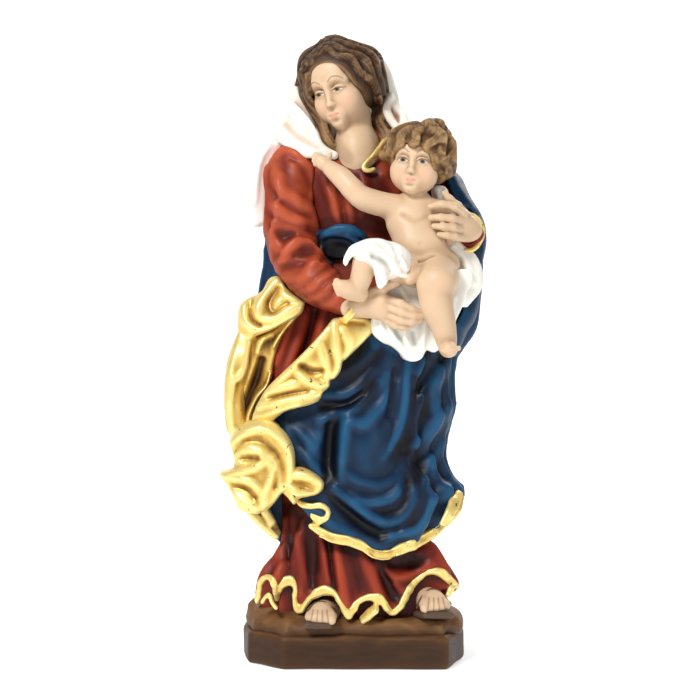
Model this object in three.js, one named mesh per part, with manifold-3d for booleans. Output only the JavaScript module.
// A devotional statuette: a standing Madonna in a red gown, a blue gold-lined mantle and a white veil,
// holding the Child, on a brown octagonal plinth. Millimetres, +Z up, the viewer stands towards -Y.
// The origin is the middle of the plinth's underside. "Right" and "left" are the figure's own.
import * as THREE from "three";
import { mergeVertices } from "three/addons/utils/BufferGeometryUtils.js";
import Module from "manifold-3d";

const wasm = await Module();
wasm.setup();

// ---------------------------------------------------------------- driving dimensions
const GAP = 0.35; // clearance left between neighbouring pieces
const PLINTH_TOP = 14; // height of the plinth's square-cut side
const GROUND_TOP = 22; // height of the earth that the figure stands on
const WAIST = 172; // height at which the skirt meets the bodice
const CROWN = 300.5; // top of the veil
const HEAD = [-4, -5, 274.5]; // centre of the mother's head
const CHILD_HEAD = [30, -31, 237]; // centre of the Child's head
const SIDES = 12; // facets round a limb or fold
const BODY_SIDES = 27; // facets round the skirt and mantle, three to each of the gown's pleats

const COLOURS = {
  earth: 0x4a2e1c,
  gown: 0x93301f,
  mantle: 0x143a63,
  gold: 0xd9b24a,
  skin: 0xe3c3a0,
  hair: 0x5a3a22,
  child_hair: 0x8a6a42,
  linen: 0xf4eee2,
  veil: 0xf6eee4,
  leather: 0x3a2417,
};

// ---------------------------------------------------------------- solids from three.js geometry
// A three.js geometry as a manifold-3d solid that faces outwards.
function solidOf(geometry) {
  const bare = geometry.index ? geometry.toNonIndexed() : geometry.clone();
  bare.deleteAttribute("normal");
  bare.deleteAttribute("uv");
  const merged = mergeVertices(bare, 1e-3);
  const p = merged.attributes.position.array;
  const faces = [...merged.index.array];
  let volume = 0;
  for (let i = 0; i < faces.length; i += 3) {
    const [a, b, c] = [0, 1, 2].map((k) => new THREE.Vector3().fromArray(p, 3 * faces[i + k]));
    volume += a.dot(b.cross(c));
  }
  if (volume < 0) faces.reverse();
  const mesh = new wasm.Mesh({ numProp: 3, vertProperties: p, triVerts: new Uint32Array(faces) });
  return new wasm.Manifold(mesh);
}

function geometryOf(solid) {
  const mesh = solid.getMesh();
  const geometry = new THREE.BufferGeometry();
  geometry.setAttribute("position", new THREE.BufferAttribute(mesh.vertProperties, 3));
  geometry.setIndex(new THREE.BufferAttribute(mesh.triVerts, 1));
  geometry.computeVertexNormals();
  return geometry;
}

// Rings of points skinned from end to end: a sphere's rows and columns are moved onto the rings,
// and its two poles close the ends. ringPoint(row, angle) gives a point of ring number row.
function skin(rows, sides, ringPoint, firstPole, lastPole) {
  const geometry = new THREE.SphereGeometry(1, sides, rows + 1);
  const position = geometry.attributes.position;
  for (let row = 0; row <= rows + 1; row++) {
    for (let side = 0; side <= sides; side++) {
      const angle = (2 * Math.PI * (side % sides)) / sides;
      let point = firstPole;
      if (row > rows) point = lastPole;
      else if (row > 0) point = ringPoint(row - 1, angle);
      position.setXYZ(row * (sides + 1) + side, ...point);
    }
  }
  return solidOf(geometry);
}

// A draped body: level ellipses [height, centre x, centre y, half width, half depth, pleat depth].
// Pleats are waves round the ring, and grow widens the body all over.
function draped(levels, grow = 0, pleats = 0, sides = BODY_SIDES) {
  const last = levels.length - 1;
  const lift = (row) => (row === 0 ? -grow : row === last ? grow : 0);
  const point = (row, angle) => {
    const [z, cx, cy, rx, ry, depth = 0] = levels[row];
    const wave = 1 + (depth / rx) * Math.cos(pleats * angle);
    const x = cx + (rx * wave + grow) * Math.cos(angle);
    return [x, cy + (ry * wave + grow) * Math.sin(angle), z + lift(row)];
  };
  const pole = (row) => [levels[row][1], levels[row][2], levels[row][0] + lift(row)];
  return skin(levels.length, sides, point, pole(0), pole(last));
}

// A round or flattened limb: stations [x, y, z, half width, half depth] along a smooth spine.
// The width starts level across the spine, and is carried along it without twisting.
function limb(stations, grow = 0, sides = SIDES) {
  const spine = stations.map((s) => new THREE.Vector3(s[0], s[1], s[2]));
  const last = stations.length - 1;
  const ways = spine.map((_, i) => {
    const ahead = spine[Math.min(i + 1, last)].clone();
    return ahead.sub(spine[Math.max(i - 1, 0)]).normalize();
  });
  const upright = Math.abs(ways[0].z) > 0.8;
  const widths = [upright ? new THREE.Vector3(1, 0, 0) : new THREE.Vector3(-ways[0].y, ways[0].x, 0)];
  ways.forEach((way, i) => {
    const carried = widths[Math.max(i - 1, 0)].clone();
    widths[i] = carried.addScaledVector(way, -carried.dot(way)).normalize();
  });
  const point = (row, angle) => {
    const [, , , a, b = a] = stations[row];
    const deep = new THREE.Vector3().crossVectors(ways[row], widths[row]);
    const lift = row === 0 ? -grow : row === last ? grow : 0;
    const p = spine[row].clone().addScaledVector(ways[row], lift);
    p.addScaledVector(widths[row], (a + grow) * Math.cos(angle));
    return p.addScaledVector(deep, (b + grow) * Math.sin(angle)).toArray();
  };
  const end = (row, sign) => {
    const reach = sign * (2 * grow + 0.35 * stations[row][3]);
    return spine[row].clone().addScaledVector(ways[row], reach).toArray();
  };
  return skin(stations.length, sides, point, end(0, -1), end(last, 1));
}

function ball([x, y, z], [rx, ry, rz], grow = 0, tilt = [0, 0, 0], sides = SIDES) {
  const geometry = new THREE.SphereGeometry(1, sides, Math.round(sides * 0.6));
  geometry.scale(rx + grow, ry + grow, rz + grow);
  geometry.rotateX(tilt[0]).rotateY(tilt[1]).rotateZ(tilt[2]);
  return solidOf(geometry.translate(x, y, z));
}

function slab(points, height, grow = 0, lift = 0) {
  const middle = new THREE.Vector2();
  points.forEach(([x, y]) => middle.add(new THREE.Vector2(x, y).divideScalar(points.length)));
  const outline = points.map(([x, y]) => {
    const out = new THREE.Vector2(x, y).sub(middle);
    return out.setLength(out.length() + grow * 1.2).add(middle);
  });
  const depth = height + 2 * grow;
  const geometry = new THREE.ExtrudeGeometry(new THREE.Shape(outline), { depth, bevelEnabled: false });
  return solidOf(geometry.translate(0, 0, lift - grow));
}

const joined = (solids) => solids.reduce((a, b) => a.add(b));

// ---------------------------------------------------------------- plinth, earth and feet
// Plan of the plinth, from its front left corner: one long front, cut corners, straight back.
const PLAN = [
  [-33, -36], [43.5, -36], [53, -10], [53.5, 14], [44, 33],
  [-40, 33], [-53, 16], [-54, -4], [-50.5, -21],
];
const planInset = (share) => PLAN.map(([x, y]) => [x * share, y * share]);
const SHOULDER_DROP = 3; // the earth's outer step lies this far below its top

const plinth = (g) => slab(PLAN, PLINTH_TOP, g);

function ground(g) {
  const shoulder = slab(planInset(0.95), GROUND_TOP - PLINTH_TOP - SHOULDER_DROP, g, PLINTH_TOP + GAP);
  const top = slab(planInset(0.88), GROUND_TOP - PLINTH_TOP, g, PLINTH_TOP + GAP);
  return shoulder.add(top);
}

const FOOT_TOP = GROUND_TOP + 3.2;
const footAt = (x, y, lean) => (g) =>
  limb([
    [x - lean, y + 14, FOOT_TOP + 4, 5.5, 5],
    [x, y + 4, FOOT_TOP + 3, 6, 4.2],
    [x + lean * 0.6, y - 4, FOOT_TOP + 1.6, 6.6, 2.8],
    [x + lean, y - 9, FOOT_TOP + 0.8, 5.6, 1.8],
  ], g);
const soleAt = (x, y, lean) => (g) =>
  limb([
    [x - lean, y + 13, GROUND_TOP + 1.4, 6.2, 0.9],
    [x + lean * 0.6, y - 3, GROUND_TOP + 1.4, 7.4, 0.9],
    [x + lean, y - 10.5, GROUND_TOP + 1.4, 6, 0.9],
  ], g);

// ---------------------------------------------------------------- gown
const SKIRT = [
  [GROUND_TOP + GAP, 2, -1, 42, 25, 3],
  [32, 2, -1, 41, 24, 3],
  [46, 1, 0, 36, 21, 2.6],
  [72, 0, 1, 32, 19, 2],
  [110, -4, 2, 28, 17, 1.5],
  [150, -6, 2, 23, 15, 1],
  [WAIST, -4, 2, 20, 14, 0],
];
const PLEATS = 9;
const skirt = (g) => draped(SKIRT, g, PLEATS);
const HEM_WIDTH = 4; // height of the gold border round the gown
const HEM_DEPTH = 1.4; // how far a border stands out from its cloth, and goes into it
const bordered = ([low, high], g, pleats) => {
  const [z, ...ring] = low;
  const band = draped([low, high], HEM_DEPTH + g, pleats).subtract(above(z + HEM_WIDTH + g));
  return band.subtract(draped([[z - HEM_WIDTH, ...ring], low, high], -HEM_DEPTH - g, pleats));
};
const gownHem = (g) => bordered(SKIRT.slice(0, 2), g, PLEATS);

const bodice = (g) =>
  draped([
    [WAIST + GAP, -4, 2, 20, 14],
    [192, -3, 1, 22, 16],
    [216, -1, 0, 27, 18],
    [234, 2, 2, 30, 16],
    [243, 3, 3, 25, 12],
    [250, 3, 2, 13, 9],
  ], g, 0, 18);

const rightSleeve = (g) =>
  limb([
    [-25, 0, 244, 11, 11],
    [-30, -3, 233, 13, 15],
    [-30, -6, 214, 14, 16],
    [-28, -11, 192, 14, 16],
    [-20, -21, 178, 13, 14],
    [-8, -31, 170, 11, 11],
    [1, -37, 167.5, 8.4, 8.4],
  ], g, 14);
const rightCuff = (g) => limb([[-1, -37.5, 167.5, 9, 9], [2.4, -39.5, 167, 8.8, 8.8]], g);
const leftSleeve = (g) =>
  limb([
    [42, 0, 228, 12, 12],
    [52, -5, 212, 10, 11],
    [55, -13, 205, 9, 10],
    [56.5, -19, 203, 8.5, 9.5],
  ], g);
const leftCuff = (g) => limb([[56.5, -19, 203, 9, 10.6], [56.5, -22, 203, 8.8, 10.4]], g);
const neckline = (g) =>
  limb([
    [20, -6, 252, 1.6], [17, -12, 246, 1.9], [12, -16, 240, 1.9], [7, -18.5, 235, 2.4],
  ], g, 10);
const sash = (g) =>
  limb([[-16, -14, 192, 7, 4], [-6, -18, 198, 7.5, 4.5], [6, -18, 197, 7, 4], [14, -15, 191, 6, 4]], g);

// ---------------------------------------------------------------- mantle and its gold lining
const MANTLE = [
  [52, 0, 2, 37, 26.5, 3],
  [66, 1, 2, 45, 28, 3],
  [78, 2, 2, 49, 28, 3],
  [96, -1, 2, 40, 25, 2.4],
  [122, -3, 2, 48, 24, 2],
  [145, 0, 2, 46, 23, 2],
  [170, 5, 2, 47, 22, 1.5],
  [200, 9, 3, 46, 21, 1],
  [225, 8, 4, 38, 19, 0],
  [243, 4, 5, 27, 15, 0],
];
const WALL = -9; // depth of the line that divides the mantle's front apron from its back
const FAR = 90; // beyond the figure on any side
const MANTLE_PLEATS = 9;
const mantleShell = (g) => draped(MANTLE, g, MANTLE_PLEATS);
// A block in front of WALL whose face, seen by the viewer, is the outline of [x, z] points.
function frontBlock(outline) {
  const shape = new THREE.Shape(outline.map(([x, z]) => new THREE.Vector2(x, z)));
  const geometry = new THREE.ExtrudeGeometry(shape, { depth: FAR + WALL, bevelEnabled: false });
  return solidOf(geometry.rotateX(Math.PI / 2).translate(0, WALL, 0));
}
const WHOLE_FRONT = [[-FAR, -1], [FAR, -1], [FAR, 320], [-FAR, 320]];
// The apron as the viewer sees it: its slanting top left edge, its left side, its hem and its tip.
const APRON = [
  [12, 160], [-36, 113], [-34, 84], [-18, 66], [-5, 58], [13, 53],
  [29, 57], [40, 63], [54, 79], [62, 100], [62, 160],
];
function above(z) {
  return slab([[-FAR, -FAR], [FAR, -FAR], [FAR, FAR], [-FAR, FAR]], 320, 0, z);
}

const mantleBack = (g) => mantleShell(g).subtract(frontBlock(WHOLE_FRONT));
const mantleApron = (g) => mantleShell(g).intersect(frontBlock(APRON));
const backHem = (g) => bordered(MANTLE.slice(0, 2), g, MANTLE_PLEATS).subtract(frontBlock(WHOLE_FRONT));
const apronHem = (g) =>
  limb([
    [-17, -25, 67, 1.6, 3.4], [-5, -27.5, 59, 1.6, 3.4], [13, -27.5, 54, 1.6, 3.4],
    [29, -23, 58, 1.6, 3.4], [40, -18, 65, 1.6, 3.4], [51, -10, 79, 1.6, 3.4],
  ], g);
const mantleShoulder = (g) =>
  limb([
    [30, 4, 240, 10, 10],
    [44, 2, 228, 13, 14],
    [53, -1, 208, 10.5, 15],
    [52, -1, 184, 9, 16],
    [47, -1, 158, 6, 14],
  ], g, 14);
const hipFold = (g) =>
  limb([[-20, -25, 166, 7, 6], [-33, -22, 167, 9, 8], [-44, -14, 163, 9, 10], [-49, -9, 156, 8, 8]], g, 14);
const sideFall = (g) =>
  limb([
    [-47, -8, 160, 6, 9], [-50, -8, 145, 10, 12], [-51, -8, 127, 11, 14],
    [-48, -9, 112, 9, 12], [-46, -10, 102, 6, 9],
  ], g);
const frontFold = (g) =>
  limb([
    [9, -32, 160, 6, 11], [0, -34, 151, 7, 13], [-14, -34, 138, 7, 13],
    [-30, -31, 122, 6, 10], [-44, -26, 110, 5, 6],
  ], g);
const cascade = (g) =>
  limb([
    [-45, -20, 111, 8, 8], [-43, -21, 100, 12, 10], [-41, -22, 88, 15, 10],
    [-39, -21, 77, 12, 8], [-34, -19, 68, 6, 5],
  ], g);
const ruffle = (g) => limb([[-27, -28, 93, 3, 6], [-20, -29.5, 87, 5, 8], [-16, -28, 80, 3, 6]], g);
const backFall = (g) =>
  limb([[-50, -4, 84, 6, 8], [-47, -2, 71, 8, 9], [-41, 0, 59, 5, 7]], g);

// ---------------------------------------------------------------- head, hair and veil
const TURN = [0.1, -0.2, -0.5]; // the head's lean and its turn to its own right, in radians
function head(g) {
  const [x, y, z] = HEAD;
  const neck = limb([[4, 1, 246, 8, 8], [2, -2, 256, 7, 7.5], [-2, -4, 266, 7.5, 8]], g);
  const skull = ball([x, y, z + 2], [13.5, 16, 15], g, TURN);
  const jaw = ball([x - 3, y - 7, z - 9], [9, 8.5, 11], g, TURN, 12);
  return joined([neck, skull, jaw]);
}
const hair = (g) => {
  const [x, y, z] = HEAD;
  const cap = ball([x + 1.5, y + 3, z + 5], [18, 18, 18], g, TURN, 14);
  const locks = limb([[12, -4, 272, 6, 6], [16, -2, 260, 5, 6], [13, -6, 249, 4, 5]], g, 10);
  const farLocks = limb([[-18, -6, 272, 5, 6], [-17, -4, 260, 4.5, 6], [-11, -8, 248, 4, 4]], g, 10);
  return joined([cap, locks, farLocks]);
};
const faceOpening = (g) => ball([HEAD[0] - 9, HEAD[1] - 17, HEAD[2] - 4], [16, 15, 21], g, TURN, 14);
const veil = (g) => {
  const hood = ball([HEAD[0] + 2, 1, 279], [22.5, 21, CROWN - 279], g, [0, -0.15, 0], 16);
  const right = limb([[-20, 2, 274, 6, 9], [-23, 0, 256, 6, 10], [-26, -3, 244, 8, 8]], g);
  const left = limb([[19, 4, 270, 6, 9], [24, 3, 256, 6, 9], [28, 3, 247, 7, 7]], g);
  const nape = limb([
    [1, 10, 282, 20, 11], [2, 12, 268, 21, 12], [2, 14, 254, 24, 10], [3, 17, 242, 25, 7], [4, 18, 233, 20, 4],
  ], g, 16);
  return joined([hood, right, left, nape]);
};
const veilFall = (g) =>
  limb([[-36, 3, 246, 7, 8], [-45, 5, 236, 6, 9], [-49, 6, 222, 5, 9], [-47, 6, 208, 4, 7]], g);

// ---------------------------------------------------------------- hands
// A finger is a limb from knuckle to tip.
const finger = (a, b, r, g) => limb([[...a, r], [...b, r * 0.8]], g, 8);
const rightHand = (g) =>
  joined([
    limb([
      [1, -38, 166.5, 5.4, 4], [8, -41, 166, 6.6, 4], [16, -43, 166, 8, 4], [21, -43, 166, 7.5, 3.4],
    ], g),
    finger([16, -43, 171], [25.5, -45, 178], 2.6, g),
    finger([18, -43, 169], [31, -42, 167], 2.3, g),
    finger([18, -43, 165], [33, -41.5, 162], 2.3, g),
    finger([18, -43, 161.5], [30, -41.5, 157.5], 2.2, g),
  ]);
const leftHand = (g) =>
  joined([
    limb([[57, -20, 203, 5, 6.4], [56, -28, 205, 4.6, 7.4], [50, -36, 206, 4.2, 8]], g),
    finger([52, -34, 211], [35, -42, 213.5], 2.1, g),
    finger([52, -34, 207.5], [34, -43, 208.5], 2.1, g),
    finger([52, -34, 203.6], [35, -43, 204], 2.1, g),
    finger([52, -34, 200], [37, -42, 200], 1.9, g),
  ]);

// ---------------------------------------------------------------- the Child and the swaddling cloth
function childHead(g) {
  const [x, y, z] = CHILD_HEAD;
  const face = ball([x - 1, y - 2, z - 4], [13, 12.5, 14], g, [0, 0.2, -0.1]);
  return face.add(limb([[26.5, -31, 214, 5.5, 5.5], [27.5, -31, 222, 5.5, 5.5]], g, 10));
}
const childHair = (g) => {
  const [x, y, z] = CHILD_HEAD;
  return ball([x + 1, y + 3, z + 2], [16, 15.5, 15.5], g, [0, 0.2, 0], 14);
};
const childTorso = (g) =>
  draped([
    [181, 31, -33, 10, 9],
    [187, 30, -34, 13, 11],
    [197, 28, -35, 12.5, 11.5],
    [208, 26.5, -34, 12.5, 10.5],
    [215, 26, -32, 11, 8.5],
    [218, 26, -31, 6, 6],
  ], g, 0, 14);
const childRightArm = (g) =>
  limb([
    [18, -35, 212, 5.2], [9, -36, 214, 4.9], [2, -35, 219, 4.2],
    [-5, -32, 227, 3.4], [-9, -30, 232, 3.8], [-13, -29, 236, 2.6],
  ], g);
const childLeftArm = (g) => limb([[37, -31, 213, 4.6], [43, -27, 206, 4.2], [44, -24, 197, 3.6]], g);
const childLeftLeg = (g) =>
  limb([
    [36, -35, 187, 8.5], [38, -46, 184, 8.4], [37.5, -52, 177, 7.4], [38.5, -50, 167, 6],
    [40, -48, 157, 4.2], [40.5, -51, 151, 4.6, 3.6], [41, -56, 148, 4.6, 2.2],
  ], g, 14);
const childRightLeg = (g) =>
  limb([
    [22, -37, 187, 8], [12, -45, 190, 7.6], [4.5, -50, 188, 6.6], [2.8, -49, 181, 5],
    [1.5, -48, 175, 3.8], [-3, -50, 173, 3.8], [-9, -52, 175, 2.4],
  ], g, 14);
const clothWrap = (g) =>
  joined([
    limb([[2, -41, 191, 9, 8], [13, -38, 195, 11, 9], [22, -31, 193, 9, 9]], g),
    limb([
      [20, -29, 185, 10, 10], [36, -27, 187, 12, 11], [52, -24, 188, 8, 10], [58, -24, 188, 2.5, 5],
    ], g),
  ]);
const clothFall = (g) =>
  limb([
    [33, -28, 180, 22, 9], [30, -32, 167, 22, 8], [28, -34, 156, 17, 6], [29, -35, 147, 10, 4],
  ], g);

// ---------------------------------------------------------------- the assembly
// [name, colour, shape]. A piece higher in this list keeps its shape, and each one below it is cut
// back from its neighbours, as cloth is modelled over the body that it lies on.
const PIECES = [
  ["plinth", "earth", plinth],
  ["ground", "earth", ground],
  ["right_sandal", "leather", soleAt(-15, -27, -2)],
  ["left_sandal", "leather", soleAt(37, -23, 4)],
  ["right_foot", "skin", footAt(-15, -27, -2)],
  ["left_foot", "skin", footAt(37, -23, 4)],
  ["right_hand", "skin", rightHand],
  ["left_hand", "skin", leftHand],
  ["child_head", "skin", childHead],
  ["child_hair", "child_hair", childHair],
  ["child_torso", "skin", childTorso],
  ["child_right_arm", "skin", childRightArm],
  ["child_left_arm", "skin", childLeftArm],
  ["child_left_leg", "skin", childLeftLeg],
  ["child_right_leg", "skin", childRightLeg],
  ["head", "skin", head],
  ["hair", "hair", (g) => hair(g).subtract(faceOpening(0))],
  ["right_cuff", "gold", rightCuff],
  ["left_cuff", "gold", leftCuff],
  ["neckline_trim", "gold", neckline],
  ["swaddling_wrap", "linen", clothWrap],
  ["swaddling_fall", "linen", clothFall],
  ["gown_hem", "gold", gownHem],
  ["gown_skirt", "gown", skirt],
  ["gown_bodice", "gown", bodice],
  ["right_sleeve", "gown", rightSleeve],
  ["left_sleeve", "gown", leftSleeve],
  ["sash", "mantle", sash],
  ["veil", "veil", (g) => veil(g).subtract(faceOpening(2))],
  ["veil_shoulder_fall", "veil", veilFall],
  ["mantle_shoulder", "mantle", mantleShoulder],
  ["lining_front_fold", "gold", frontFold],
  ["lining_cascade", "gold", cascade],
  ["lining_hip_fold", "gold", hipFold],
  ["lining_side_fall", "gold", sideFall],
  ["lining_back_fall", "gold", backFall],
  ["lining_ruffle", "gold", ruffle],
  ["mantle_apron_hem", "gold", apronHem],
  ["mantle_back_hem", "gold", backHem],
  ["mantle_apron", "mantle", mantleApron],
  ["mantle_back", "mantle", mantleBack],
];

// Two boxes that come within the gap of each other.
function near(a, b) {
  return [0, 1, 2].every((k) => a.min[k] < b.max[k] + GAP && b.min[k] < a.max[k] + GAP);
}

// The largest of the bodies that cutting leaves: slivers are dropped.
function largest(solid) {
  return solid.decompose().sort((a, b) => b.volume() - a.volume())[0];
}

const statue = new THREE.Group();
const placed = [];
for (const [name, colour, shape] of PIECES) {
  let solid = shape(0);
  const box = solid.boundingBox();
  for (const other of placed) if (near(box, other.box)) solid = solid.subtract(other.grown);
  solid = largest(solid);
  placed.push({ box: solid.boundingBox(), grown: shape(GAP) });
  const shiny = colour === "gold";
  const material = new THREE.MeshStandardMaterial({
    color: COLOURS[colour],
    roughness: shiny ? 0.32 : 0.55,
    metalness: shiny ? 0.9 : 0,
  });
  const mesh = new THREE.Mesh(geometryOf(solid), material);
  mesh.name = name;
  statue.add(mesh);
}

export default statue;
